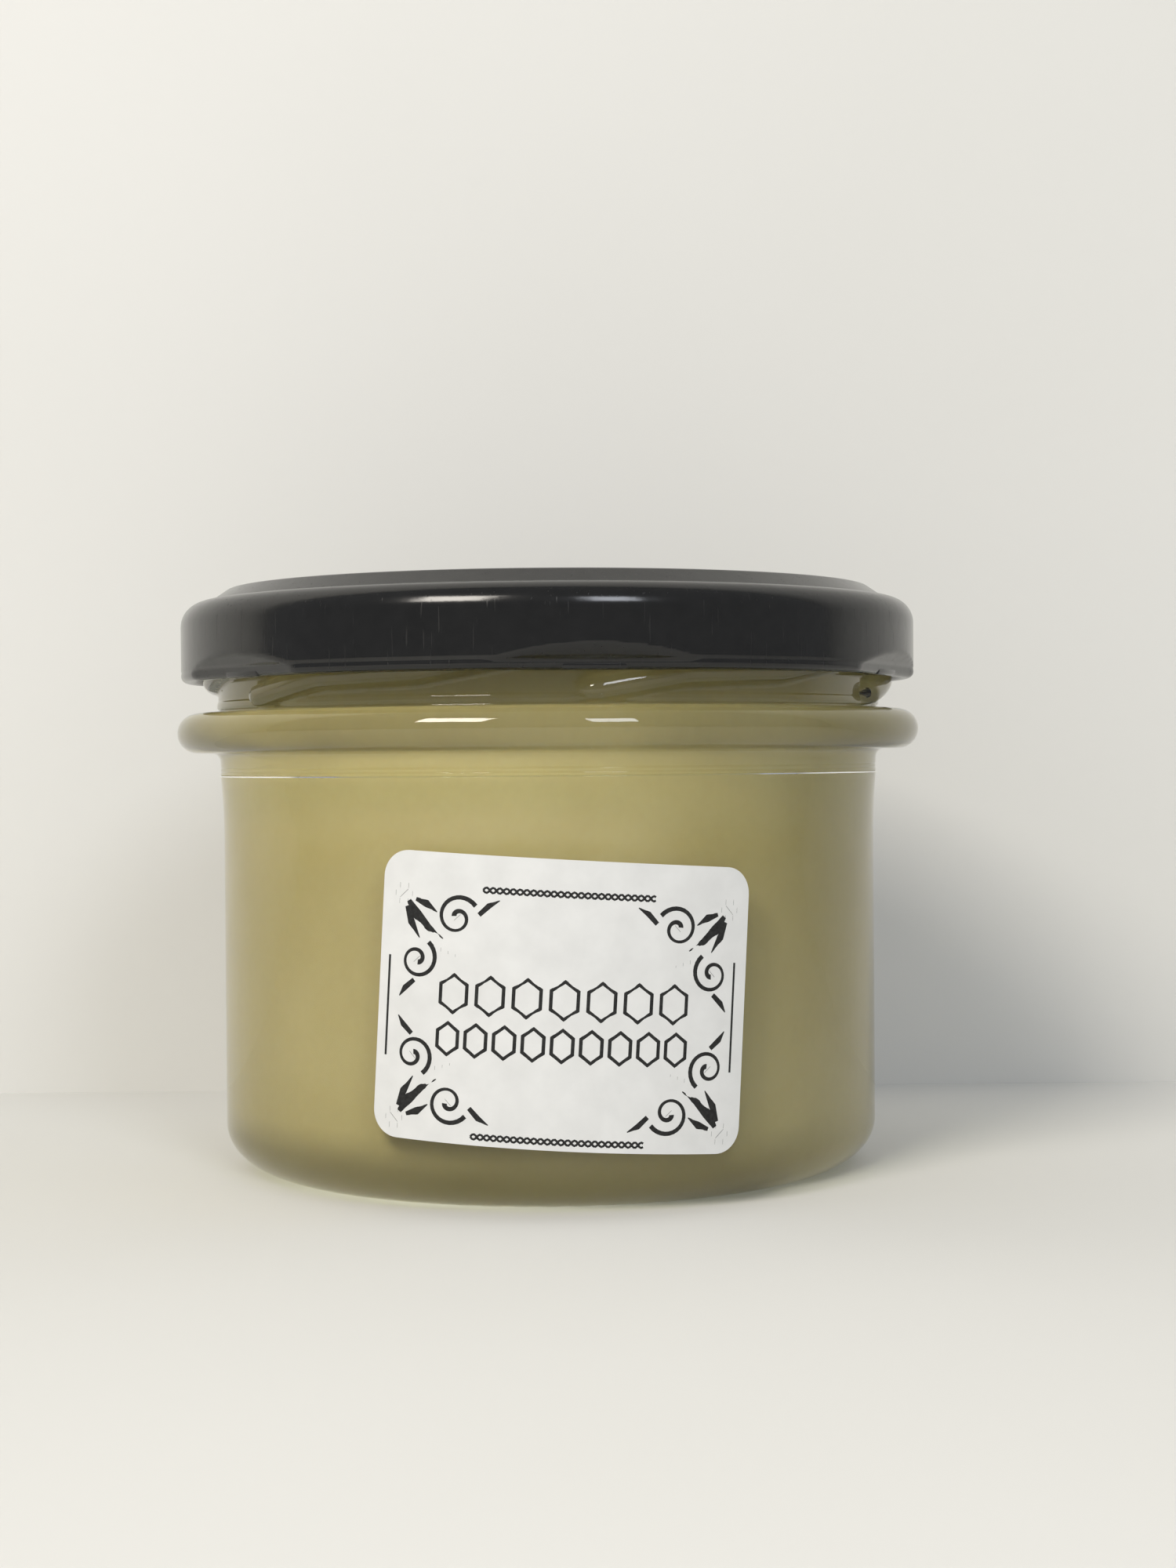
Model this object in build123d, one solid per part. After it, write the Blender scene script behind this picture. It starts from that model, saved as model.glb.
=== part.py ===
from build123d import *
import math
import os

# A squat clear glass jar of creamed honey, closed by a pressed lug lid and marked with a paper sticker.
# Millimetres, +Z up, -Y is the front. The origin is the middle of the ring that the jar stands on.

# ---------------------------------------------------------------- driving dimensions

# Outside of the glass, from the table up.
BODY_RADIUS = 37.85         # straight side wall
BODY_HEIGHT = 48.2          # table to the underside of the bead
HEEL_WIDTH = 7.5            # the heel is a quarter ellipse, this wide
HEEL_HEIGHT = 5.6           # and this high
STAND_WIDTH = 1.6           # flat ring that the jar stands on, inside the heel
FLARE_HEIGHT = 7.4          # the wall widens a little over this height, below the mould line
FLARE = 0.35                # how far it widens
MOULD_LINE = 2.6            # from the underside of the bead down to the mould line
BEAD_RADIUS = 43.1          # fat rounded ring below the neck
BEAD_HEIGHT = 4.6
BEAD_FILLET = 1.0           # where the bead meets the wall below it
NECK_RADIUS = 38.4
NECK_SHOWING = 3.5          # bare neck between the bead and the lid
COLLAR_HEIGHT = 1.2         # small roll at the foot of the neck
COLLAR_ROLL = 0.15          # how far it stands out
COLLAR_GROOVE = 0.2         # how far the groove below it goes in

# Inside of the glass.
BODY_WALL = 2.35
NECK_WALL = 3.4
BASE_THICKNESS = 3.2        # at the foot of the wall
CORNER_RADIUS = 5.0         # between the wall and the floor, inside
FLOOR_RISE = 1.2            # the floor is domed by this much
PUSH_UP = 2.0               # height of the hollow under the base
PUSH_UP_EDGE = 3.0          # width of its sloping edge
THROAT_DROP = 8.0           # the throat keeps its width for this far below the bead's middle
THROAT_BLEND = 5.0          # height over which it widens into the body
LIP_OUTER_RADIUS = 2.2
LIP_INNER_RADIUS = 0.4

# Fine rings and knurls in the glass.
RING_COUNT = 3              # hairline rings around the wall, at the mould line and above it
RING_SPACING = 0.45
RING_DEPTH = 0.09
RING_TOOL = 0.16            # radius of the rounded groove
KNURL_COUNT = 65            # ribs across the standing ring
KNURL_DEPTH = 0.3
KNURL_TOOL = 2.0            # radius of the hollow between two ribs

# Lid: lacquered tinplate, pressed, with an inward curl and lugs.
LID_RADIUS = 42.6
LID_HEIGHT = 10.7
LID_PLATE = 0.3
SHOULDER_RADIUS = 2.8
PANEL_RISE = 1.5            # the middle panel stands above the shoulder by this much
PANEL_RADIUS = 37.2         # flat part of the panel
RISE_FOOT_RADIUS = 39.4     # where the slope up to the panel starts
RISE_FOOT_FILLET = 0.5
PANEL_FILLET = 0.9
CURL_RADIUS = 0.75          # half the thickness of the rolled lower edge
LUG_COUNT = 6
LUG_ANGLE = 6.6             # the first lug, in degrees to the right of the front
LUG_WIDTH = 7.0
LUG_REACH = 1.9             # how far a lug reaches in past the curl
LUG_THICKNESS = 1.0
FLAT_DEPTH = 1.4            # how far the skirt is pressed in above each lug
FLAT_HEIGHT = 2.6           # height of that pressed flat, from the lower edge
FLAT_SLOPE = 40.0           # its lean, in degrees from upright

# Thread leads on the neck, one for each lug, from the low tip to the high end.
LEAD_RADIUS = 1.4           # half the height of the ridge
LEAD_STANDS_OUT = 1.75      # from the neck's surface
LEAD_ANGLES = (0.3, 15.0, 33.0, 62.0)       # degrees to the right of the lug that it guides
LEAD_HEIGHTS = (-1.95, -0.15, 0.25, 3.5)    # above the lid's lower edge
LEAD_JOINT = 0.1            # the round joints are this much thicker than the ridge

# Honey.
FILL_GAP = 3.5              # between the honey and the lid's underside

# Sticker, 40 by 30 before it is wrapped on, stuck a little askew.
LABEL_WIDTH = 40.0
LABEL_HEIGHT = 30.0
LABEL_CORNER = 2.8
LABEL_THICKNESS = 0.12
LABEL_ANGLE = 2.1           # its middle, in degrees to the right of the front
LABEL_MIDDLE = 21.9         # its middle, above the table
LABEL_TILT = 3.6            # turned clockwise by this many degrees

# ---------------------------------------------------------------- heights and radii that follow

bead_top = BODY_HEIGHT + BEAD_HEIGHT
bead_middle = BODY_HEIGHT + BEAD_HEIGHT / 2
mould_line = BODY_HEIGHT - MOULD_LINE
shoulder_wall = BODY_RADIUS + FLARE
stand_outer = BODY_RADIUS - HEEL_WIDTH
stand_inner = stand_outer - STAND_WIDTH
inner_radius = BODY_RADIUS - BODY_WALL
throat_radius = NECK_RADIUS - NECK_WALL
lid_bottom = bead_top + NECK_SHOWING
lid_top = lid_bottom + LID_HEIGHT
lid_shoulder = lid_top - PANEL_RISE
rim = lid_top - LID_PLATE
fill_level = rim - FILL_GAP


def revolved(face):
    """A solid of revolution about the jar's upright axis."""
    return revolve(face, Axis.Z)


def dome_middle(edge_radius, edge_height, rise):
    """Middle point of the arc from a dome's edge to its top, with its centre on the axis."""
    ball = (edge_radius**2 + rise**2) / (2 * rise)
    turn = math.asin(edge_radius / ball) / 2
    return (ball * math.sin(turn), edge_height + rise - ball * (1 - math.cos(turn)))


def around(shape, count, start=0.0):
    """Copies of a shape made at +X, spread evenly about the axis, the first `start` degrees past the front."""
    return [Rot(0, 0, start - 90 + 360 * i / count) * shape for i in range(count)]


# ---------------------------------------------------------------- glass

def glass_section():
    """Half section of the jar's wall, from under the base, up the outside and down the inside."""
    recess_edge = stand_inner - PUSH_UP_EDGE
    floor_edge = inner_radius - CORNER_RADIUS
    widest = BEAD_RADIUS - BEAD_HEIGHT / 2
    roll = BEAD_HEIGHT / 2
    collar_top = bead_top + COLLAR_HEIGHT
    groove = NECK_RADIUS - COLLAR_GROOVE
    crest_outer = NECK_RADIUS - LIP_OUTER_RADIUS
    crest_inner = throat_radius + LIP_INNER_RADIUS
    throat_foot = bead_middle - THROAT_DROP
    body_top = throat_foot - THROAT_BLEND
    corner = CORNER_RADIUS * (1 - math.sqrt(0.5))
    floor_middle = dome_middle(floor_edge, BASE_THICKNESS, FLOOR_RISE)
    with BuildSketch(Plane.XZ) as section:
        with BuildLine():
            # Hollow under the base, then the standing ring.
            Line((0, PUSH_UP), (recess_edge, PUSH_UP * 0.75))
            ThreePointArc(
                (recess_edge, PUSH_UP * 0.75),
                (stand_inner - PUSH_UP_EDGE * 0.35, PUSH_UP * 0.45),
                (stand_inner, 0),
            )
            Line((stand_inner, 0), (stand_outer, 0))
            # Heel and straight wall.
            EllipticalCenterArc((stand_outer, HEEL_HEIGHT), HEEL_WIDTH, HEEL_HEIGHT, -90, arc_size=90)
            Line((BODY_RADIUS, HEEL_HEIGHT), (BODY_RADIUS, mould_line - FLARE_HEIGHT))
            ThreePointArc(
                (BODY_RADIUS, mould_line - FLARE_HEIGHT),
                (BODY_RADIUS + FLARE / 4, mould_line - FLARE_HEIGHT / 2),
                (shoulder_wall, mould_line),
            )
            Line((shoulder_wall, mould_line), (shoulder_wall, BODY_HEIGHT - BEAD_FILLET))
            # Bead.
            ThreePointArc(
                (shoulder_wall, BODY_HEIGHT - BEAD_FILLET),
                (
                    shoulder_wall + BEAD_FILLET * (1 - math.sqrt(0.5)),
                    BODY_HEIGHT - BEAD_FILLET * (1 - math.sqrt(0.5)),
                ),
                (shoulder_wall + BEAD_FILLET, BODY_HEIGHT),
            )
            Line((shoulder_wall + BEAD_FILLET, BODY_HEIGHT), (widest, BODY_HEIGHT))
            ThreePointArc((widest, BODY_HEIGHT), (widest + roll, bead_middle), (widest, bead_top))
            Line((widest, bead_top), (groove, bead_top))
            # Collar, neck and rim.
            ThreePointArc(
                (groove, bead_top),
                (NECK_RADIUS + COLLAR_ROLL, bead_top + COLLAR_HEIGHT / 2),
                (NECK_RADIUS, collar_top),
            )
            Line((NECK_RADIUS, collar_top), (NECK_RADIUS, rim - LIP_OUTER_RADIUS))
            ThreePointArc(
                (NECK_RADIUS, rim - LIP_OUTER_RADIUS),
                (
                    crest_outer + LIP_OUTER_RADIUS * math.sqrt(0.5),
                    rim - LIP_OUTER_RADIUS * (1 - math.sqrt(0.5)),
                ),
                (crest_outer, rim),
            )
            Line((crest_outer, rim), (crest_inner, rim))
            ThreePointArc(
                (crest_inner, rim),
                (
                    throat_radius + LIP_INNER_RADIUS * (1 - math.sqrt(0.5)),
                    rim - LIP_INNER_RADIUS * (1 - math.sqrt(0.5)),
                ),
                (throat_radius, rim - LIP_INNER_RADIUS),
            )
            # Down the inside.
            Line((throat_radius, rim - LIP_INNER_RADIUS), (throat_radius, throat_foot))
            Line((throat_radius, throat_foot), (inner_radius, body_top))
            Line((inner_radius, body_top), (inner_radius, BASE_THICKNESS + CORNER_RADIUS))
            ThreePointArc(
                (inner_radius, BASE_THICKNESS + CORNER_RADIUS),
                (inner_radius - corner, BASE_THICKNESS + corner),
                (floor_edge, BASE_THICKNESS),
            )
            ThreePointArc((floor_edge, BASE_THICKNESS), floor_middle, (0, BASE_THICKNESS + FLOOR_RISE))
            Line((0, BASE_THICKNESS + FLOOR_RISE), (0, PUSH_UP))
        make_face()
    return section.sketch


def cavity_section(top):
    """Half section of what fills the jar up to a level, against the same inner wall."""
    floor_edge = inner_radius - CORNER_RADIUS
    throat_foot = bead_middle - THROAT_DROP
    body_top = throat_foot - THROAT_BLEND
    corner = CORNER_RADIUS * (1 - math.sqrt(0.5))
    floor_middle = dome_middle(floor_edge, BASE_THICKNESS, FLOOR_RISE)
    with BuildSketch(Plane.XZ) as section:
        with BuildLine():
            Line((0, top), (throat_radius, top))
            Line((throat_radius, top), (throat_radius, throat_foot))
            Line((throat_radius, throat_foot), (inner_radius, body_top))
            Line((inner_radius, body_top), (inner_radius, BASE_THICKNESS + CORNER_RADIUS))
            ThreePointArc(
                (inner_radius, BASE_THICKNESS + CORNER_RADIUS),
                (inner_radius - corner, BASE_THICKNESS + corner),
                (floor_edge, BASE_THICKNESS),
            )
            ThreePointArc((floor_edge, BASE_THICKNESS), floor_middle, (0, BASE_THICKNESS + FLOOR_RISE))
            Line((0, BASE_THICKNESS + FLOOR_RISE), (0, top))
        make_face()
    return section.sketch


def thread_lead():
    """One ridge that a lug slides under, its lug at +X: tilted ring pieces between round joints."""
    middle = NECK_RADIUS + LEAD_STANDS_OUT - LEAD_RADIUS
    lead = None
    stops = list(zip(LEAD_ANGLES, LEAD_HEIGHTS))
    for (angle, height) in stops:
        joint = Rot(0, 0, angle) * Pos(middle, 0, lid_bottom + height) * Sphere(LEAD_RADIUS + LEAD_JOINT)
        lead = joint if lead is None else lead + joint
    for (angle_a, height_a), (angle_b, height_b) in zip(stops, stops[1:]):
        half_turn = math.radians(angle_b - angle_a) / 2
        tilt = math.asin((height_b - height_a) / (2 * middle * math.sin(half_turn)))
        ring = Torus(middle, LEAD_RADIUS, major_angle=angle_b - angle_a, align=None)
        ring = Rot(math.degrees(tilt), 0, 0) * Rot(0, 0, -math.degrees(half_turn)) * ring
        level = lid_bottom + (height_a + height_b) / 2
        lead = lead + Rot(0, 0, (angle_a + angle_b) / 2) * Pos(0, 0, level) * ring
    return lead


def ring_grooves():
    """Hairline grooves around the wall, from the mould line up."""
    middle = shoulder_wall + RING_TOOL - RING_DEPTH
    return [Pos(0, 0, mould_line + RING_SPACING * i) * Torus(middle, RING_TOOL) for i in range(RING_COUNT)]


def knurl_grooves():
    """Rounded hollows across the standing ring, with a rib at +X between two of them."""
    length = HEEL_WIDTH + STAND_WIDTH + 2
    tool = Rot(0, 90, 0) * Cylinder(KNURL_TOOL, length)
    tool = Pos(stand_inner - 1 + length / 2, 0, KNURL_DEPTH - KNURL_TOOL) * tool
    return around(tool, KNURL_COUNT, 90 + 180 / KNURL_COUNT)


def glass_jar():
    jar = revolved(glass_section())
    jar = jar + around(thread_lead(), LUG_COUNT, LUG_ANGLE)
    jar = jar - ring_grooves()
    return jar - knurl_grooves()


# ---------------------------------------------------------------- honey

def honey():
    return revolved(cavity_section(fill_level))


# ---------------------------------------------------------------- lid

def lid_section(inset):
    """Half section under the lid's outer skin, or under its inner skin when inset by the plate."""
    radius = LID_RADIUS - inset
    shoulder = lid_shoulder - inset
    top = lid_top - inset
    bend = SHOULDER_RADIUS - inset
    slope = math.atan2(PANEL_RISE, RISE_FOOT_RADIUS - PANEL_RADIUS)
    shift = inset * math.tan(slope / 2)
    low = lid_bottom + CURL_RADIUS
    with BuildSketch(Plane.XZ) as section:
        with BuildLine():
            Polyline(
                (0, low),
                (radius, low),
                (radius, shoulder),
                (RISE_FOOT_RADIUS - shift, shoulder),
                (PANEL_RADIUS - shift, top),
                (0, top),
                close=True,
            )
        make_face()
        corners = section.vertices()
        outer = corners.sort_by_distance(Vector(radius, 0, shoulder))[0]
        foot = corners.sort_by_distance(Vector(RISE_FOOT_RADIUS - shift, 0, shoulder))[0]
        brow = corners.sort_by_distance(Vector(PANEL_RADIUS - shift, 0, top))[0]
        fillet(outer, bend)
        fillet(foot, RISE_FOOT_FILLET + inset)
        fillet(brow, PANEL_FILLET - inset)
    return section.sketch


def pressed_flat(inset):
    """Tool at +X that presses the skirt in above a lug; inset by the plate, it shapes the inside."""
    lean = math.radians(FLAT_SLOPE)
    face = LID_RADIUS - FLAT_DEPTH - inset
    clear = 3.0
    top = lid_bottom + FLAT_HEIGHT + (clear - inset / math.cos(lean) + inset) / math.tan(lean)
    knee = top - (FLAT_DEPTH + clear) / math.tan(lean)
    with BuildSketch(Plane.XZ) as section:
        with BuildLine():
            Polyline(
                (face, lid_bottom - 1),
                (face, knee),
                (face + FLAT_DEPTH + clear, top),
                (face + FLAT_DEPTH + 2 * clear, top),
                (face + FLAT_DEPTH + 2 * clear, lid_bottom - 1),
                close=True,
            )
        make_face()
    return extrude(section.sketch, LID_RADIUS / 2, both=True)


def lug():
    """Inward tongue of the curl at +X, with rounded ends."""
    inner = LID_RADIUS - 2 * CURL_RADIUS - LUG_REACH
    outer = LID_RADIUS - FLAT_DEPTH
    plan = Rectangle(outer - inner, LUG_WIDTH)
    tongue = extrude(Pos((inner + outer) / 2, 0, lid_bottom) * plan, LUG_THICKNESS)
    upright = tongue.edges().filter_by(Axis.Z).sort_by(Axis.X)[:2]
    return fillet(upright, LUG_REACH / 2)


def lid():
    skin = revolved(lid_section(0)) - around(pressed_flat(0), LUG_COUNT, LUG_ANGLE)
    hollow = revolved(lid_section(LID_PLATE)) - around(pressed_flat(LID_PLATE), LUG_COUNT, LUG_ANGLE)
    shell = skin - hollow
    curl = Pos(0, 0, lid_bottom + CURL_RADIUS) * Torus(LID_RADIUS - CURL_RADIUS, CURL_RADIUS)
    curl = curl - around(pressed_flat(0), LUG_COUNT, LUG_ANGLE)
    return shell + curl + around(lug(), LUG_COUNT, LUG_ANGLE)


# ---------------------------------------------------------------- sticker

def on_wall(across, up):
    """Where a point of the flat sticker lands, seen square from the front, once it is wrapped on."""
    tilt = math.radians(LABEL_TILT)
    arc = across * math.cos(tilt) + up * math.sin(tilt)
    height = LABEL_MIDDLE - across * math.sin(tilt) + up * math.cos(tilt)
    turn = math.radians(LABEL_ANGLE) + arc / BODY_RADIUS
    return (BODY_RADIUS * math.sin(turn), height)


def label_outline():
    """Outline of the wrapped sticker, seen from the front: four sides and four rounded corners."""
    half_w = LABEL_WIDTH / 2
    half_h = LABEL_HEIGHT / 2
    edge_w = half_w - LABEL_CORNER
    edge_h = half_h - LABEL_CORNER
    bulge = LABEL_CORNER * math.sqrt(0.5)
    corners = ((edge_w, edge_h, 0), (-edge_w, edge_h, 90), (-edge_w, -edge_h, 180), (edge_w, -edge_h, 270))
    arcs = []
    for across, up, start in corners:
        first = math.radians(start)
        last = math.radians(start + 90)
        sx = 1 if across > 0 else -1
        sy = 1 if up > 0 else -1
        arcs.append((
            (across + LABEL_CORNER * math.cos(first), up + LABEL_CORNER * math.sin(first)),
            (across + bulge * sx, up + bulge * sy),
            (across + LABEL_CORNER * math.cos(last), up + LABEL_CORNER * math.sin(last)),
        ))
    with BuildSketch(Plane.XZ) as outline:
        with BuildLine():
            for arc, following in zip(arcs, arcs[1:] + arcs[:1]):
                ThreePointArc(*[on_wall(*point) for point in arc])
                (x_a, y_a), (x_b, y_b) = arc[2], following[0]
                steps = [i / 4 for i in range(5)]
                Spline([on_wall(x_a + (x_b - x_a) * t, y_a + (y_b - y_a) * t) for t in steps])
        make_face()
    return outline.sketch


def label():
    band = Cylinder(BODY_RADIUS + LABEL_THICKNESS, LABEL_HEIGHT * 2)
    band = band - Cylinder(BODY_RADIUS, LABEL_HEIGHT * 2)
    return (Pos(0, 0, LABEL_MIDDLE) * band) & extrude(label_outline(), BODY_RADIUS * 2)


# ---------------------------------------------------------------- parts

PARTS = {"glass_jar": glass_jar, "honey": honey, "lid": lid, "label": label}

os.makedirs("parts", exist_ok=True)
for name, make in PARTS.items():
    export_step(make(), "parts/" + name + ".step")
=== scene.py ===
import bpy
import math
from mathutils import Matrix


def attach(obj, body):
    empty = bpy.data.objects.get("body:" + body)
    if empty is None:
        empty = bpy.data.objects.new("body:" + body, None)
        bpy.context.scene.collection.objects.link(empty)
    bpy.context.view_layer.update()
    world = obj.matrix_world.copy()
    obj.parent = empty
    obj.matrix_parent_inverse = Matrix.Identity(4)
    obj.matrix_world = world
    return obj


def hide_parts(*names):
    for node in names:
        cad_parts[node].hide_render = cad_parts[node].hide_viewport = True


# A squat clear glass jar of creamed honey with a black lug lid and a paper sticker.
# All lengths are in millimetres, +Z up and -Y the front, and MM turns them into Blender's metres.

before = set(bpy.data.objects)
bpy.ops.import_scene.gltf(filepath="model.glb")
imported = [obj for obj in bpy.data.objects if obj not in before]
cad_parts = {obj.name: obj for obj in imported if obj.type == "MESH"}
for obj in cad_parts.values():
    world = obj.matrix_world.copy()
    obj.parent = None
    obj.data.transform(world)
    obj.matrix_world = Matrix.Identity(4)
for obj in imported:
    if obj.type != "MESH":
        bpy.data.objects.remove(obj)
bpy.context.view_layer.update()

MM = 0.001

# ---------------------------------------------------------------- sizes, as in the part's source

BODY_RADIUS = 37.85
BODY_HEIGHT = 48.2
HEEL_WIDTH = 7.5
HEEL_HEIGHT = 5.6
STAND_WIDTH = 1.6
FLARE_HEIGHT = 7.4
FLARE = 0.35
MOULD_LINE = 2.6
BEAD_RADIUS = 43.1
BEAD_HEIGHT = 4.6
BEAD_FILLET = 1.0
NECK_RADIUS = 38.4
NECK_SHOWING = 3.5
COLLAR_HEIGHT = 1.2
COLLAR_ROLL = 0.15
COLLAR_GROOVE = 0.2
BODY_WALL = 2.35
NECK_WALL = 3.4
BASE_THICKNESS = 3.2
CORNER_RADIUS = 5.0
FLOOR_RISE = 1.2
PUSH_UP = 2.0
PUSH_UP_EDGE = 3.0
THROAT_DROP = 8.0
THROAT_BLEND = 5.0
LIP_OUTER_RADIUS = 2.2
LIP_INNER_RADIUS = 0.4
RING_COUNT = 3
RING_SPACING = 0.45
RING_DEPTH = 0.09
KNURL_COUNT = 65
KNURL_DEPTH = 0.3
KNURL_TOOL = 2.0
LID_RADIUS = 42.6
LID_HEIGHT = 10.7
LID_PLATE = 0.3
SHOULDER_RADIUS = 2.8
PANEL_RISE = 1.5
PANEL_RADIUS = 37.2
RISE_FOOT_RADIUS = 39.4
RISE_FOOT_FILLET = 0.5
PANEL_FILLET = 0.9
CURL_RADIUS = 0.75
LUG_COUNT = 6
LUG_ANGLE = 6.6
LUG_WIDTH = 7.0
LUG_REACH = 1.9
LUG_THICKNESS = 1.0
FLAT_DEPTH = 1.4
FLAT_HEIGHT = 2.6
FLAT_SLOPE = 40.0
LEAD_RADIUS = 1.4
LEAD_STANDS_OUT = 1.75
LEAD_ANGLES = (0.3, 15.0, 33.0, 62.0)
LEAD_HEIGHTS = (-1.95, -0.15, 0.25, 3.5)
FILL_GAP = 3.5
LABEL_WIDTH = 40.0
LABEL_HEIGHT = 30.0
LABEL_CORNER = 2.8
LABEL_THICKNESS = 0.12
LABEL_ANGLE = 2.1
LABEL_MIDDLE = 21.9
LABEL_TILT = 3.6

bead_top = BODY_HEIGHT + BEAD_HEIGHT
bead_middle = BODY_HEIGHT + BEAD_HEIGHT / 2
mould_line = BODY_HEIGHT - MOULD_LINE
shoulder_wall = BODY_RADIUS + FLARE
stand_outer = BODY_RADIUS - HEEL_WIDTH
stand_inner = stand_outer - STAND_WIDTH
inner_radius = BODY_RADIUS - BODY_WALL
throat_radius = NECK_RADIUS - NECK_WALL
lid_bottom = bead_top + NECK_SHOWING
lid_top = lid_bottom + LID_HEIGHT
lid_shoulder = lid_top - PANEL_RISE
rim = lid_top - LID_PLATE
fill_level = rim - FILL_GAP


# ---------------------------------------------------------------- shapes

def arc(centre, radius, first, last, count, squeeze=1.0):
    """Points of an arc between two angles in degrees; `squeeze` makes it an ellipse in height."""
    points = []
    for i in range(count + 1):
        turn = math.radians(first + (last - first) * i / count)
        points.append((centre[0] + radius * math.cos(turn), centre[1] + radius * squeeze * math.sin(turn)))
    return points


def run(start, end, count):
    """Points from one place to another in equal steps."""
    return [
        (start[0] + (end[0] - start[0]) * i / count, start[1] + (end[1] - start[1]) * i / count)
        for i in range(count + 1)
    ]


def lathe(name, points, steps):
    """A closed piece of revolution: the section is drawn point by point and spun about the upright axis."""
    line = [points[0]]
    for point in points[1:]:
        if math.dist(point, line[-1]) > 0.004:
            line.append(point)
    bpy.ops.object.select_all(action="DESELECT")
    bpy.ops.mesh.primitive_plane_add(size=MM)
    piece = bpy.context.object
    piece.name = name
    bpy.ops.object.mode_set(mode="EDIT")
    bpy.ops.mesh.select_all(action="SELECT")
    bpy.ops.mesh.merge(type="CENTER")
    bpy.ops.transform.translate(value=(line[0][0] * MM, 0, line[0][1] * MM))
    for (r_a, z_a), (r_b, z_b) in zip(line, line[1:]):
        move = {"value": ((r_b - r_a) * MM, 0, (z_b - z_a) * MM)}
        bpy.ops.mesh.extrude_vertices_move(TRANSFORM_OT_translate=move)
    bpy.ops.mesh.select_all(action="SELECT")
    bpy.ops.mesh.spin(steps=steps, angle=2 * math.pi, center=(0, 0, 0), axis=(0, 0, 1))
    bpy.ops.mesh.select_all(action="SELECT")
    bpy.ops.mesh.remove_doubles(threshold=0.001 * MM)
    bpy.ops.mesh.normals_make_consistent(inside=False)
    bpy.ops.object.mode_set(mode="OBJECT")
    return piece


def smooth(piece, angle=40):
    """Smooth shading, broken at edges sharper than an angle."""
    bpy.ops.object.select_all(action="DESELECT")
    piece.select_set(True)
    bpy.context.view_layer.objects.active = piece
    bpy.ops.object.shade_smooth_by_angle(angle=math.radians(angle))


def reshape(piece, rule):
    """Moves each vertex as a rule of (radius, angle from the front, height) says, all in mm and degrees."""
    for vertex in piece.data.vertices:
        x, y, z = (value / MM for value in vertex.co)
        radius = math.hypot(x, y)
        if radius < 1:
            continue
        turn = math.degrees(math.atan2(x, -y))
        radius, height = rule(radius, turn, z)
        vertex.co = (
            radius * math.sin(math.radians(turn)) * MM,
            -radius * math.cos(math.radians(turn)) * MM,
            height * MM,
        )


def from_lug(turn):
    """Degrees from the nearest lug, to its right positive."""
    pitch = 360 / LUG_COUNT
    return (turn - LUG_ANGLE + pitch / 2) % pitch - pitch / 2


# ---------------------------------------------------------------- glass

def glass_points():
    recess_edge = stand_inner - PUSH_UP_EDGE
    widest = BEAD_RADIUS - BEAD_HEIGHT / 2
    groove = NECK_RADIUS - COLLAR_GROOVE
    points = run((0, PUSH_UP), (recess_edge, PUSH_UP * 0.75), 6)
    points += [(stand_inner - PUSH_UP_EDGE * 0.35, PUSH_UP * 0.45)]
    points += run((stand_inner, 0), (stand_outer, 0), 3)
    points += arc((stand_outer, HEEL_HEIGHT), HEEL_WIDTH, -90, 0, 22, HEEL_HEIGHT / HEEL_WIDTH)
    points += run((BODY_RADIUS, HEEL_HEIGHT), (BODY_RADIUS, mould_line - FLARE_HEIGHT), 6)
    for i in range(1, 9):
        points.append((BODY_RADIUS + FLARE * (i / 8) ** 2, mould_line - FLARE_HEIGHT * (1 - i / 8)))
    for i in range(RING_COUNT):
        level = mould_line + RING_SPACING * i
        points += [(shoulder_wall, level - 0.13), (shoulder_wall - RING_DEPTH, level), (shoulder_wall, level + 0.13)]
    points += arc((shoulder_wall + BEAD_FILLET, BODY_HEIGHT - BEAD_FILLET), BEAD_FILLET, 180, 90, 6)
    points += arc((widest, bead_middle), BEAD_HEIGHT / 2, -90, 90, 24)
    points += arc((groove + 0.2, bead_top + 0.2), 0.2, -90, -180, 3)
    points += arc((NECK_RADIUS - COLLAR_HEIGHT + 0.3 + COLLAR_ROLL - 0.3, bead_top + 0.75), 1.2, -12, 25, 5)
    points += run((NECK_RADIUS, bead_top + COLLAR_HEIGHT + 0.1), (NECK_RADIUS, rim - LIP_OUTER_RADIUS), 52)
    points += arc((NECK_RADIUS - LIP_OUTER_RADIUS, rim - LIP_OUTER_RADIUS), LIP_OUTER_RADIUS, 0, 90, 8)
    points += arc((throat_radius + LIP_INNER_RADIUS, rim - LIP_INNER_RADIUS), LIP_INNER_RADIUS, 90, 180, 4)
    throat_foot = bead_middle - THROAT_DROP
    points += run((throat_radius, rim - LIP_INNER_RADIUS), (throat_radius, throat_foot), 6)
    points += run((throat_radius, throat_foot), (inner_radius, throat_foot - THROAT_BLEND), 3)
    points += arc((inner_radius - CORNER_RADIUS, BASE_THICKNESS + CORNER_RADIUS), CORNER_RADIUS, 0, -90, 10)
    floor_edge = inner_radius - CORNER_RADIUS
    for i in range(1, 9):
        points.append((floor_edge * (1 - i / 8), BASE_THICKNESS + FLOOR_RISE * (1 - (1 - i / 8) ** 2)))
    return points


def lead_height(off):
    """Height of a thread lead's middle above the lid's edge, a number of degrees to the right of its lug."""
    for i in range(len(LEAD_ANGLES) - 1):
        if off <= LEAD_ANGLES[i + 1]:
            break
    share = (off - LEAD_ANGLES[i]) / (LEAD_ANGLES[i + 1] - LEAD_ANGLES[i])
    return LEAD_HEIGHTS[i] + share * (LEAD_HEIGHTS[i + 1] - LEAD_HEIGHTS[i])


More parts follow.
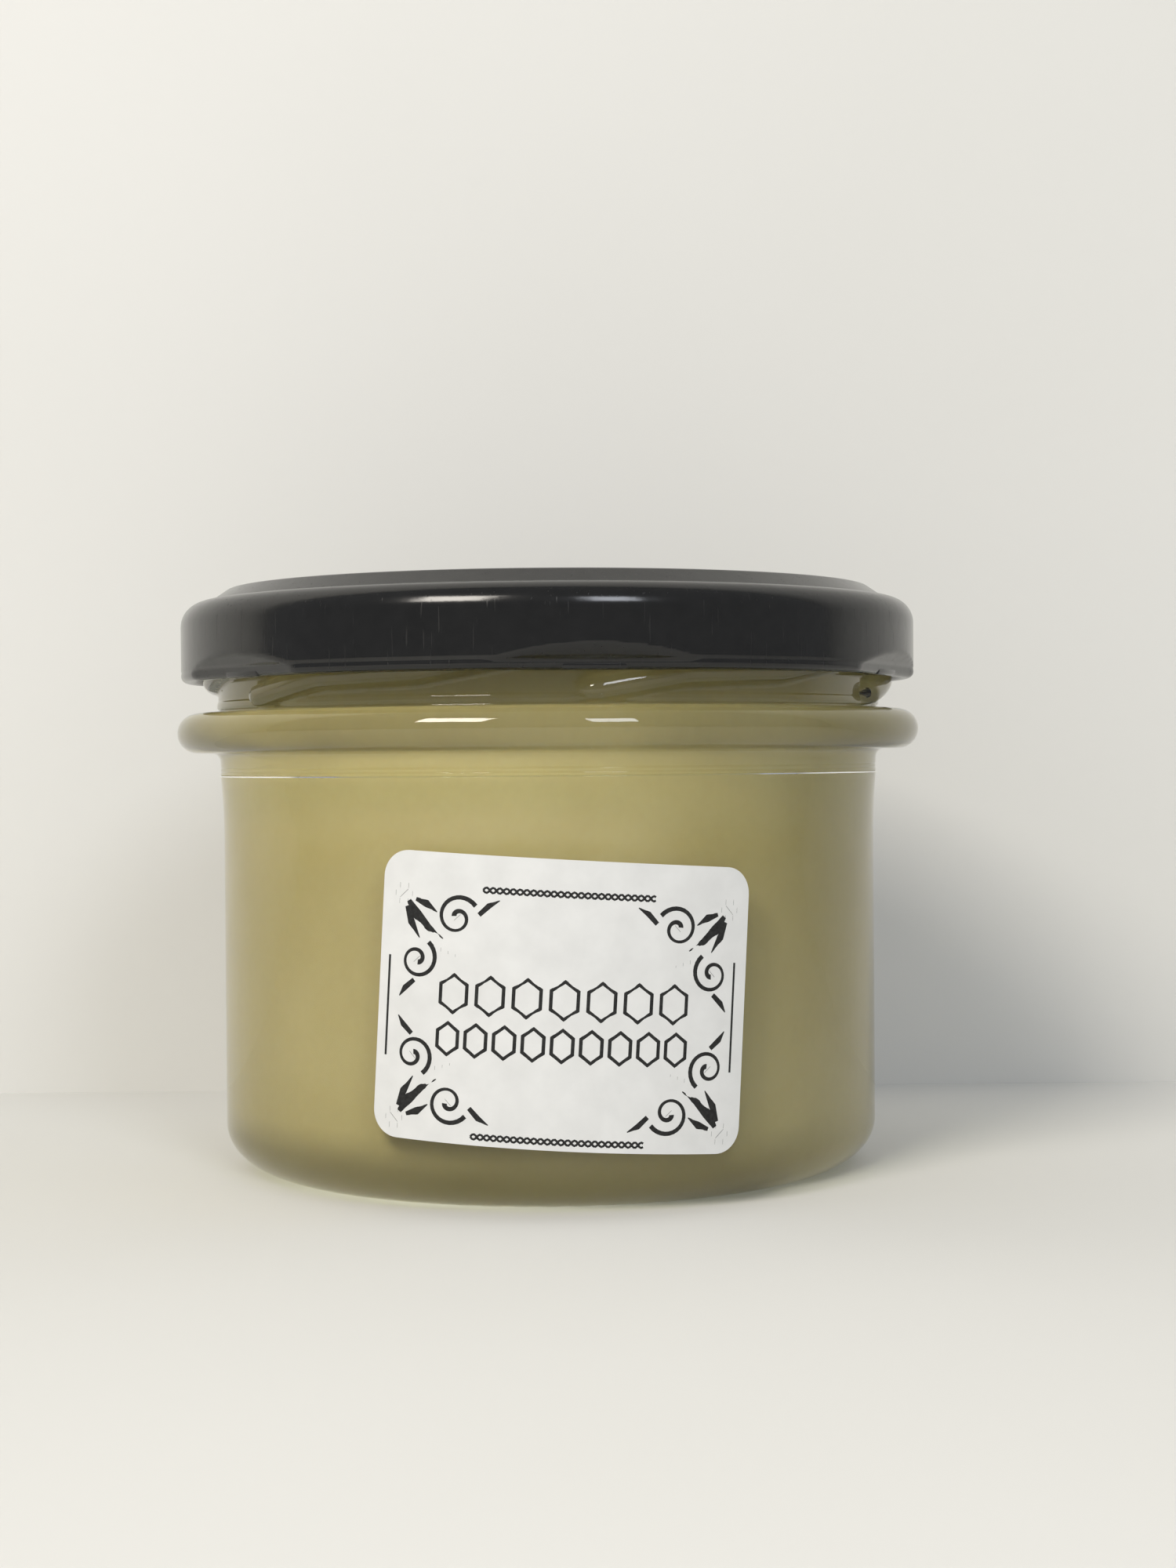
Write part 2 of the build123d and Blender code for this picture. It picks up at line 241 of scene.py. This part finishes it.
def shape_glass(radius, turn, height):
    if height < 1.0 and radius > stand_inner - 1.2:
        pitch = 360 / KNURL_COUNT
        side = abs(turn % pitch - pitch / 2)
        across = math.radians(side) * radius
        if across < KNURL_TOOL:
            hollow = KNURL_DEPTH - KNURL_TOOL + math.sqrt(KNURL_TOOL**2 - across**2)
            height = max(height, hollow)
    if bead_top + 0.3 < height < rim - 0.5 and NECK_RADIUS - 1.5 < radius < NECK_RADIUS + 0.4:
        middle = NECK_RADIUS + LEAD_STANDS_OUT - LEAD_RADIUS
        pitch = 360 / LUG_COUNT
        for off in ((turn - LUG_ANGLE) % pitch, (turn - LUG_ANGLE) % pitch + pitch, (turn - LUG_ANGLE) % pitch - pitch):
            nearest = min(max(off, LEAD_ANGLES[0]), LEAD_ANGLES[-1])
            beyond = math.radians(off - nearest) * middle
            apart = math.hypot(beyond, height - lid_bottom - lead_height(nearest))
            if apart < LEAD_RADIUS:
                radius = max(radius, middle + math.sqrt(LEAD_RADIUS**2 - apart**2))
            elif apart < LEAD_RADIUS + 0.25:
                radius = max(radius, NECK_RADIUS + (middle - NECK_RADIUS) * (1 - (apart - LEAD_RADIUS) / 0.25))
    return radius, height


glass = lathe("glass_jar_clear", glass_points(), KNURL_COUNT * 6)
reshape(glass, shape_glass)
smooth(glass, 50)


# ---------------------------------------------------------------- honey

def honey_points():
    """The filling, a hair wider than the cavity so that no air shows between it and the glass."""
    into = 0.12
    throat_foot = bead_middle - THROAT_DROP
    points = [(0, fill_level), (throat_radius - 1.2, fill_level)]
    points += arc((throat_radius - 0.8 + into, fill_level - 0.8), 0.8, 90, 0, 5)
    points += run((throat_radius + into, fill_level - 2), (throat_radius + into, throat_foot), 8)
    points += run((throat_radius + into, throat_foot), (inner_radius + into, throat_foot - THROAT_BLEND), 4)
    low = BASE_THICKNESS + CORNER_RADIUS
    points += run((inner_radius + into, throat_foot - THROAT_BLEND), (inner_radius + into, low), 10)
    points += arc((inner_radius - CORNER_RADIUS, low), CORNER_RADIUS + into, 0, -90, 12)
    floor_edge = inner_radius - CORNER_RADIUS
    for i in range(1, 9):
        points.append((floor_edge * (1 - i / 8), BASE_THICKNESS - into + FLOOR_RISE * (1 - (1 - i / 8) ** 2)))
    return points


honey = lathe("creamed_honey", honey_points(), 180)
smooth(honey, 60)


# ---------------------------------------------------------------- lid

def lid_points():
    """Outer skin from the middle out, round the curl, and back along the inner skin."""
    rise = math.degrees(math.atan2(PANEL_RISE, RISE_FOOT_RADIUS - PANEL_RADIUS))
    points = []
    for inset in (0, LID_PLATE):
        top = lid_top - inset
        shoulder = lid_shoulder - inset
        bend = SHOULDER_RADIUS - inset
        brow = PANEL_FILLET - inset
        foot = RISE_FOOT_FILLET + inset
        shift = inset * math.tan(math.radians(rise / 2))
        brow_back = brow * math.tan(math.radians(rise / 2))
        foot_back = foot * math.tan(math.radians(rise / 2))
        skin = [(0, top), (12, top), (24, top), (33, top)]
        skin += arc((PANEL_RADIUS - shift - brow_back, top - brow), brow, 90, 90 - rise, 6)
        skin += arc((RISE_FOOT_RADIUS - shift + foot_back, shoulder + foot), foot, 270 - rise, 270, 5)
        skin += arc((LID_RADIUS - inset - bend, shoulder - bend), bend, 90, 0, 12)
        points.append(skin)
    outer, inner = points
    low = lid_bottom + CURL_RADIUS
    outer += run((LID_RADIUS, lid_shoulder - SHOULDER_RADIUS), (LID_RADIUS, low + 0.55), 18)
    curl = [(LID_RADIUS - 0.07, low + 0.38)]
    curl += arc((LID_RADIUS - CURL_RADIUS, low), CURL_RADIUS, 12, -200, 18)
    curl += [(LID_RADIUS - LID_PLATE - 0.55, low + 0.62), (LID_RADIUS - LID_PLATE, low + 0.95)]
    inner += run((LID_RADIUS - LID_PLATE, lid_shoulder - SHOULDER_RADIUS), (LID_RADIUS - LID_PLATE, low + 1.1), 16)
    return outer + curl + inner[::-1]


def shape_lid(radius, turn, height):
    if radius < LID_RADIUS - 4 or height > lid_shoulder - 1.5:
        return radius, height
    lean = math.tan(math.radians(FLAT_SLOPE))
    side = math.radians(from_lug(turn))
    level = lid_bottom + FLAT_HEIGHT
    limit = LID_RADIUS - FLAT_DEPTH + max(0, FLAT_DEPTH + (height - level) * lean)
    skin = LID_RADIUS - radius
    square = (LID_RADIUS - 0.0) * math.cos(side)
    over = square - limit
    if over > 0:
        over = over if over > 0.15 else over * over / 0.15
        radius = radius - over / math.cos(side) * (1 if skin < 1.8 else 0)
    return radius, height


lid = lathe("lid_lacquered", lid_points(), 360)
reshape(lid, shape_lid)
smooth(lid, 60)


def lug(turn):
    """Inward tongue of the curl, with rounded ends."""
    inner = LID_RADIUS - 2 * CURL_RADIUS - LUG_REACH
    outer = LID_RADIUS - FLAT_DEPTH
    middle = (inner + outer) / 2
    angle = math.radians(turn - 90)
    place = (middle * math.cos(angle) * MM, middle * math.sin(angle) * MM, (lid_bottom + LUG_THICKNESS / 2) * MM)
    bpy.ops.object.select_all(action="DESELECT")
    bpy.ops.mesh.primitive_cube_add(size=MM, location=place, rotation=(0, 0, angle))
    tongue = bpy.context.object
    tongue.scale = (outer - inner, LUG_WIDTH, LUG_THICKNESS)
    bpy.ops.object.transform_apply(location=True, rotation=True, scale=True)
    round_off = tongue.modifiers.new("Bevel", "BEVEL")
    round_off.width = 0.4 * MM
    round_off.segments = 4
    bpy.ops.object.modifier_apply(modifier="Bevel")
    return tongue


tongues = [lug(LUG_ANGLE + 360 * i / LUG_COUNT) for i in range(LUG_COUNT)]
bpy.ops.object.select_all(action="DESELECT")
for tongue in tongues:
    tongue.select_set(True)
bpy.context.view_layer.objects.active = tongues[0]
bpy.ops.object.join()
lugs = tongues[0]
lugs.name = "lid_lugs"
smooth(lugs, 50)


# ---------------------------------------------------------------- sticker

def wrap(piece, tilt=LABEL_TILT):
    """Wraps a flat piece, drawn in X and Y about the sticker's middle and in Z above the wall, on the wall."""
    lean = math.radians(tilt)
    for vertex in piece.data.vertices:
        across, up, proud = (value / MM for value in vertex.co)
        along = across * math.cos(lean) + up * math.sin(lean)
        height = LABEL_MIDDLE - across * math.sin(lean) + up * math.cos(lean)
        turn = math.radians(LABEL_ANGLE) + along / BODY_RADIUS
        radius = BODY_RADIUS + proud
        vertex.co = (radius * math.sin(turn) * MM, -radius * math.cos(turn) * MM, height * MM)


def round_corner(across, up):
    """Draws the corner of a rectangle in to a quarter circle."""
    over = abs(across) - (LABEL_WIDTH / 2 - LABEL_CORNER)
    above = abs(up) - (LABEL_HEIGHT / 2 - LABEL_CORNER)
    if over <= 0 or above <= 0:
        return across, up
    share = max(over, above) / math.hypot(over, above)
    across = math.copysign(LABEL_WIDTH / 2 - LABEL_CORNER + over * share, across)
    return across, math.copysign(LABEL_HEIGHT / 2 - LABEL_CORNER + above * share, up)


bpy.ops.object.select_all(action="DESELECT")
bpy.ops.mesh.primitive_grid_add(x_subdivisions=100, y_subdivisions=75, size=MM)
sticker = bpy.context.object
sticker.name = "sticker"
for vertex in sticker.data.vertices:
    across, up = round_corner(vertex.co.x / MM * LABEL_WIDTH, vertex.co.y / MM * LABEL_HEIGHT)
    vertex.co = (across * MM, up * MM, LABEL_THICKNESS * MM)
thick = sticker.modifiers.new("Solidify", "SOLIDIFY")
thick.thickness = (LABEL_THICKNESS + 0.03) * MM
thick.offset = -1
bpy.ops.object.modifier_apply(modifier="Solidify")
wrap(sticker)
smooth(sticker, 40)


# ---------------------------------------------------------------- print on the sticker

INK_LEVEL = LABEL_THICKNESS + 0.004
INK_THICKNESS = 0.012
strokes = []


def stroke(path, widths, closed=False):
    """A drawn line of changing width: a curve with a round section, later pressed flat."""
    curve = bpy.data.curves.new("stroke", "CURVE")
    curve.dimensions = "3D"
    curve.bevel_depth = 0.5 * MM
    curve.bevel_resolution = 1
    curve.use_fill_caps = True
    spline = curve.splines.new("POLY")
    spline.points.add(len(path) - 1)
    for i, (point, (across, up)) in enumerate(zip(spline.points, path)):
        share = i / max(1, len(path) - 1)
        spot = share * (len(widths) - 1)
        low = min(int(spot), len(widths) - 2) if len(widths) > 1 else 0
        width = widths[0] if len(widths) == 1 else widths[low] + (spot - low) * (widths[low + 1] - widths[low])
        point.co = (across * MM, up * MM, 0, 1)
        point.radius = max(width, 0.02)
    spline.use_cyclic_u = closed
    line = bpy.data.objects.new("stroke", curve)
    bpy.context.scene.collection.objects.link(line)
    strokes.append(line)


def spiral(centre, start_radius, end_radius, start, turns, steps=40):
    """Points of a spiral, its radius changing evenly with the angle."""
    points = []
    for i in range(steps + 1):
        share = i / steps
        radius = start_radius + (end_radius - start_radius) * share
        angle = math.radians(start + 360 * turns * share)
        points.append((centre[0] + radius * math.cos(angle), centre[1] + radius * math.sin(angle)))
    return points


def flourish(left, up):
    """One corner ornament: two volutes, leaves between them, a trail of dots and a rosette."""
    side = -1 if left else 1
    rise = 1 if up else -1
    corner = (side * 18.2, rise * 12.2 - 1.2)

    def at(points):
        return [(corner[0] - side * x, corner[1] - rise * y) for x, y in points]

    stroke(at(spiral((6.6, 2.6), 0.35, 2.3, 200, 1.35)), [0.55, 0.3, 0.5])
    stroke(at([(6.6, 2.6), (6.62, 2.62)]), [0.95])
    stroke(at(spiral((2.4, 7.2), 0.35, 2.2, 70, -1.35)), [0.55, 0.3, 0.5])
    stroke(at([(2.4, 7.2), (2.42, 7.22)]), [0.95])
    stroke(at([(0.6, 0.5), (0.62, 0.52)]), [1.3])
    for angle in (0, 60, 120, 180, 240, 300):
        turn = math.radians(angle)
        spot = (0.6 + 0.95 * math.cos(turn), 0.5 + 0.95 * math.sin(turn))
        stroke(at([spot, (spot[0] + 0.02, spot[1])]), [0.55])
    stroke(at([(1.2, 1.2), (2.2, 2.6), (3.6, 3.9), (5.2, 4.9)]), [0.5, 1.1, 0.7, 0.1])
    stroke(at([(1.0, 1.8), (1.6, 3.4), (2.6, 5.0)]), [0.4, 0.8, 0.1])
    stroke(at([(2.0, 1.0), (3.2, 1.4), (4.4, 2.2)]), [0.4, 0.8, 0.1])
    stroke(at([(8.9, 2.2), (9.9, 1.2), (11.0, 0.6)]), [0.5, 0.6, 0.1])
    stroke(at([(2.2, 9.4), (1.2, 10.3), (0.6, 11.2)]), [0.5, 0.6, 0.1])
    for i in range(4):
        spot = (4.2 + 0.8 * i, 5.8 + 0.25 * i)
        stroke(at([spot, (spot[0] + 0.02, spot[1])]), [0.5 - 0.08 * i])


def hexagons(count, width, height, middle):
    """A row of plain hexagon outlines."""
    for i in range(count):
        centre = (-width / 2 + width * (i + 0.5) / count, middle)
        half = min(width / count * 0.42, height / 2)
        ring = [
            (centre[0] + half * math.cos(math.radians(30 + 60 * k)), centre[1] + height / 2 * math.sin(math.radians(30 + 60 * k)))
            for k in range(6)
        ]
        stroke(ring, [0.42], closed=True)


for left in (True, False):
    for up in (True, False):
        flourish(left, up)
for level in (11.4, -14.1):
    lower = [(-9.0 + 18 * i / 90, level + 0.28 * math.sin(i * 0.9)) for i in range(91)]
    upper = [(-9.0 + 18 * i / 90, level - 0.28 * math.sin(i * 0.9)) for i in range(91)]
    stroke(lower, [0.24])
    stroke(upper, [0.24])
stroke([(-18.9, -6.5), (-18.9, 4.0)], [0.25])
stroke([(18.5, -6.5), (18.5, 5.0)], [0.25])
hexagons(7, 27, 3.9, 0.5)
hexagons(9, 27, 3.3, -4.2)

bpy.ops.object.select_all(action="DESELECT")
for line in strokes:
    line.select_set(True)
bpy.context.view_layer.objects.active = strokes[0]
bpy.ops.object.convert(target="MESH")
bpy.ops.object.join()
ink = bpy.context.view_layer.objects.active
ink.name = "sticker_print"
for vertex in ink.data.vertices:
    vertex.co.z = (INK_LEVEL + INK_THICKNESS * vertex.co.z / (0.6 * MM)) * MM
wrap(ink)
smooth(ink, 40)


# ---------------------------------------------------------------- materials

def colour(code):
    """A linear RGBA colour from an sRGB hex value."""
    channels = [int(code[i:i + 2], 16) / 255 for i in (1, 3, 5)]
    return [c / 12.92 if c <= 0.04045 else ((c + 0.055) / 1.055) ** 2.4 for c in channels] + [1.0]


def add(tree, kind, inputs=None, **settings):
    """Adds a node; each input is a value or another node's socket."""
    made = tree.nodes.new(kind)
    for name, value in settings.items():
        setattr(made, name, value)
    for name, value in (inputs or {}).items():
        if isinstance(value, bpy.types.NodeSocket):
            tree.links.new(value, made.inputs[name])
        else:
            made.inputs[name].default_value = value
    return made


def material(name):
    """A new material, its node tree and its output node."""
    made = bpy.data.materials.new(name)
    made.use_nodes = True
    made.node_tree.nodes.clear()
    return made, made.node_tree, made.node_tree.nodes.new("ShaderNodeOutputMaterial")


def ramp(tree, factor, stops):
    """A colour ramp through (position, hex) stops."""
    made = add(tree, "ShaderNodeValToRGB", {"Fac": factor})
    elements = made.color_ramp.elements
    while len(elements) < len(stops):
        elements.new(0.5)
    for element, (position, code) in zip(elements, stops):
        element.position = position
        element.color = colour(code)
    return made.outputs["Color"]


def wear(piece, made):
    piece.data.materials.clear()
    piece.data.materials.append(made)


# Flint glass, pressed and blown, fire polished: clear with a faint green cast and a slightly wavy skin.
flint, tree, out = material("flint_glass_fire_polished")
spots = add(tree, "ShaderNodeTexCoord").outputs["Object"]
waves = add(tree, "ShaderNodeTexNoise", {"Vector": spots, "Scale": 1 / (9 * MM), "Detail": 2.0})
skin = add(tree, "ShaderNodeBump", {"Height": waves.outputs["Fac"], "Strength": 0.12, "Distance": 0.5 * MM})
clear = add(tree, "ShaderNodeBsdfPrincipled", {
    "Base Color": colour("#F3F7EF"),
    "Roughness": 0.02,
    "IOR": 1.52,
    "Transmission Weight": 1.0,
    "Normal": skin.outputs["Normal"],
})
through = add(tree, "ShaderNodeBsdfTransparent", {"Color": colour("#F2F4EC")})
path = add(tree, "ShaderNodeLightPath")
mix = add(tree, "ShaderNodeMixShader", {0: path.outputs["Is Shadow Ray"], 1: clear.outputs[0], 2: through.outputs[0]})
tree.links.new(mix.outputs[0], out.inputs["Surface"])

# Creamed honey: opaque, fine grained and milky, its tone varying in soft clouds and fine grain.
creamed, tree, out = material("creamed_honey_set")
spots = add(tree, "ShaderNodeTexCoord").outputs["Object"]
cloud = add(tree, "ShaderNodeTexNoise", {"Vector": spots, "Scale": 1 / (22 * MM), "Detail": 4.0})
grain = add(tree, "ShaderNodeTexNoise", {"Vector": spots, "Scale": 1 / (0.9 * MM), "Detail": 3.0})
both = add(tree, "ShaderNodeMath", {0: cloud.outputs["Fac"], 1: 0.85}, operation="MULTIPLY")
both = add(tree, "ShaderNodeMath", {0: grain.outputs["Fac"], 1: 0.15, 2: both.outputs[0]}, operation="MULTIPLY_ADD")
tint = ramp(tree, both.outputs[0], [(0.3, "#A99C6A"), (0.5, "#B0A373"), (0.7, "#B7AB7D")])
paste = add(tree, "ShaderNodeBsdfPrincipled", {
    "Base Color": tint,
    "Roughness": 0.55,
    "IOR": 1.49,
    "Specular IOR Level": 0.1,
    "Subsurface Weight": 0.35,
    "Subsurface Radius": (1.0, 0.7, 0.35),
    "Subsurface Scale": 1.5 * MM,
})
tree.links.new(paste.outputs[0], out.inputs["Surface"])

# Tinplate, pressed and stove lacquered in gloss black: orange peel in the coat and fine handling scratches.
lacquer, tree, out = material("tinplate_gloss_black_lacquer")
spots = add(tree, "ShaderNodeTexCoord").outputs["Object"]
peel = add(tree, "ShaderNodeTexNoise", {"Vector": spots, "Scale": 1 / (1.6 * MM), "Detail": 2.0})
turned = add(tree, "ShaderNodeMapping", {"Vector": spots, "Rotation": (0, math.radians(40), 0), "Scale": (1.0, 1.0, 0.04)})
hair = add(tree, "ShaderNodeTexNoise", {"Vector": turned.outputs[0], "Scale": 1 / (0.25 * MM), "Detail": 1.0})
cut = ramp(tree, hair.outputs["Fac"], [(0.70, "#000000"), (0.74, "#FFFFFF")])
rough = add(tree, "ShaderNodeMath", {0: cut, 1: 0.25, 2: 0.16}, operation="MULTIPLY_ADD")
skin = add(tree, "ShaderNodeBump", {"Height": peel.outputs["Fac"], "Strength": 0.15, "Distance": 0.1 * MM})
tint = ramp(tree, peel.outputs["Fac"], [(0.3, "#0E0E0E"), (0.7, "#141414")])
coat = add(tree, "ShaderNodeBsdfPrincipled", {
    "Base Color": tint,
    "Roughness": rough.outputs[0],
    "IOR": 1.5,
    "Normal": skin.outputs["Normal"],
})
tree.links.new(coat.outputs[0], out.inputs["Surface"])

# Coated thermal paper: cool white, matt with a soft sheen and a barely visible fibre cloud.
paper, tree, out = material("thermal_paper_coated")
spots = add(tree, "ShaderNodeTexCoord").outputs["Object"]
cloud = add(tree, "ShaderNodeTexNoise", {"Vector": spots, "Scale": 1 / (3.0 * MM), "Detail": 5.0})
tint = ramp(tree, cloud.outputs["Fac"], [(0.3, "#DBDCDB"), (0.7, "#E3E4E3")])
skin = add(tree, "ShaderNodeBump", {"Height": cloud.outputs["Fac"], "Strength": 0.1, "Distance": 0.05 * MM})
sheet = add(tree, "ShaderNodeBsdfPrincipled", {
    "Base Color": tint,
    "Roughness": 0.5,
    "Specular IOR Level": 0.35,
    "Normal": skin.outputs["Normal"],
})
tree.links.new(sheet.outputs[0], out.inputs["Surface"])

# Thermal print: a soft black that the heated dots leave a little uneven.
black, tree, out = material("thermal_print_black")
spots = add(tree, "ShaderNodeTexCoord").outputs["Object"]
dots = add(tree, "ShaderNodeTexNoise", {"Vector": spots, "Scale": 1 / (0.3 * MM), "Detail": 2.0})
tint = ramp(tree, dots.outputs["Fac"], [(0.3, "#161616"), (0.7, "#2A2A2A")])
mark = add(tree, "ShaderNodeBsdfPrincipled", {"Base Color": tint, "Roughness": 0.5, "Specular IOR Level": 0.3})
tree.links.new(mark.outputs[0], out.inputs["Surface"])

for piece, made, slot, node in (
    (glass, flint, "glass", "glass_jar"),
    (honey, creamed, "honey", "honey"),
    (lid, lacquer, "lid_lacquer", "lid"),
    (lugs, lacquer, "lid_lacquer", "lid"),
    (sticker, paper, "label_paper", "label"),
    (ink, black, "label_paper", "label"),
):
    wear(piece, made)
    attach(piece, "root")
    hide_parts(node)


# ---------------------------------------------------------------- floor, backdrop, light and camera

WALL_BEHIND = 66.0

bpy.ops.object.select_all(action="DESELECT")
bpy.ops.mesh.primitive_plane_add(size=3.0, location=(0, WALL_BEHIND * MM - 1.5, 0))
floor = bpy.context.object
floor.name = "floor"
bpy.ops.mesh.primitive_plane_add(size=3.0, location=(0, WALL_BEHIND * MM, 1.5), rotation=(math.radians(90), 0, 0))
backdrop = bpy.context.object
backdrop.name = "backdrop"

board, tree, out = material("matt_board_white")
spots = add(tree, "ShaderNodeTexCoord").outputs["Object"]
cloud = add(tree, "ShaderNodeTexNoise", {"Vector": spots, "Scale": 4.0, "Detail": 3.0})
tint = ramp(tree, cloud.outputs["Fac"], [(0.3, "#E0E0DC"), (0.7, "#E6E6E3")])
matt = add(tree, "ShaderNodeBsdfDiffuse", {"Color": tint})
gone = add(tree, "ShaderNodeBsdfTransparent")
rear = add(tree, "ShaderNodeNewGeometry")
mix = add(tree, "ShaderNodeMixShader", {0: rear.outputs["Backfacing"], 1: matt.outputs[0], 2: gone.outputs[0]})
tree.links.new(mix.outputs[0], out.inputs["Surface"])
wear(floor, board)
wear(backdrop, board)

scene = bpy.context.scene
scene.render.engine = "CYCLES"
scene.view_settings.view_transform = "Standard"

world = bpy.data.worlds.new("room")
world.use_nodes = True
world.node_tree.nodes["Background"].inputs["Color"].default_value = colour("#E9EBEE")
world.node_tree.nodes["Background"].inputs["Strength"].default_value = 0.42
scene.world = world


def lamp(name, place, target, width, height, watts, code):
    """A soft rectangular light that faces a point, in mm."""
    bpy.ops.object.light_add(type="AREA", location=[value * MM for value in place])
    made = bpy.context.object
    made.name = name
    made.data.shape = "RECTANGLE"
    made.data.size = width * MM
    made.data.size_y = height * MM
    made.data.energy = watts
    made.data.color = colour(code)[:3]
    toward = (made.location * -1) + made.location.__class__([value * MM for value in target])
    made.rotation_euler = toward.to_track_quat("-Z", "Y").to_euler()


lamp("key", (-380, -620, 620), (0, 0, 40), 300, 300, 5.2, "#FFF8EE")
lamp("fill", (260, -700, 520), (0, 0, 40), 200, 260, 1.6, "#F2F6FF")

bpy.ops.object.camera_add()
camera = bpy.context.object
camera.data.sensor_fit = "VERTICAL"
camera.data.sensor_height = 24
camera.data.lens = 39.0
turned = Matrix.Rotation(-0.0153, 4, "Z") @ Matrix.Rotation(math.pi / 2 - 0.0103, 4, "X") @ Matrix.Rotation(-0.008, 4, "Z")
camera.matrix_world = Matrix.Translation((0, -299.64 * MM, 47.37 * MM)) @ turned
scene.camera = camera
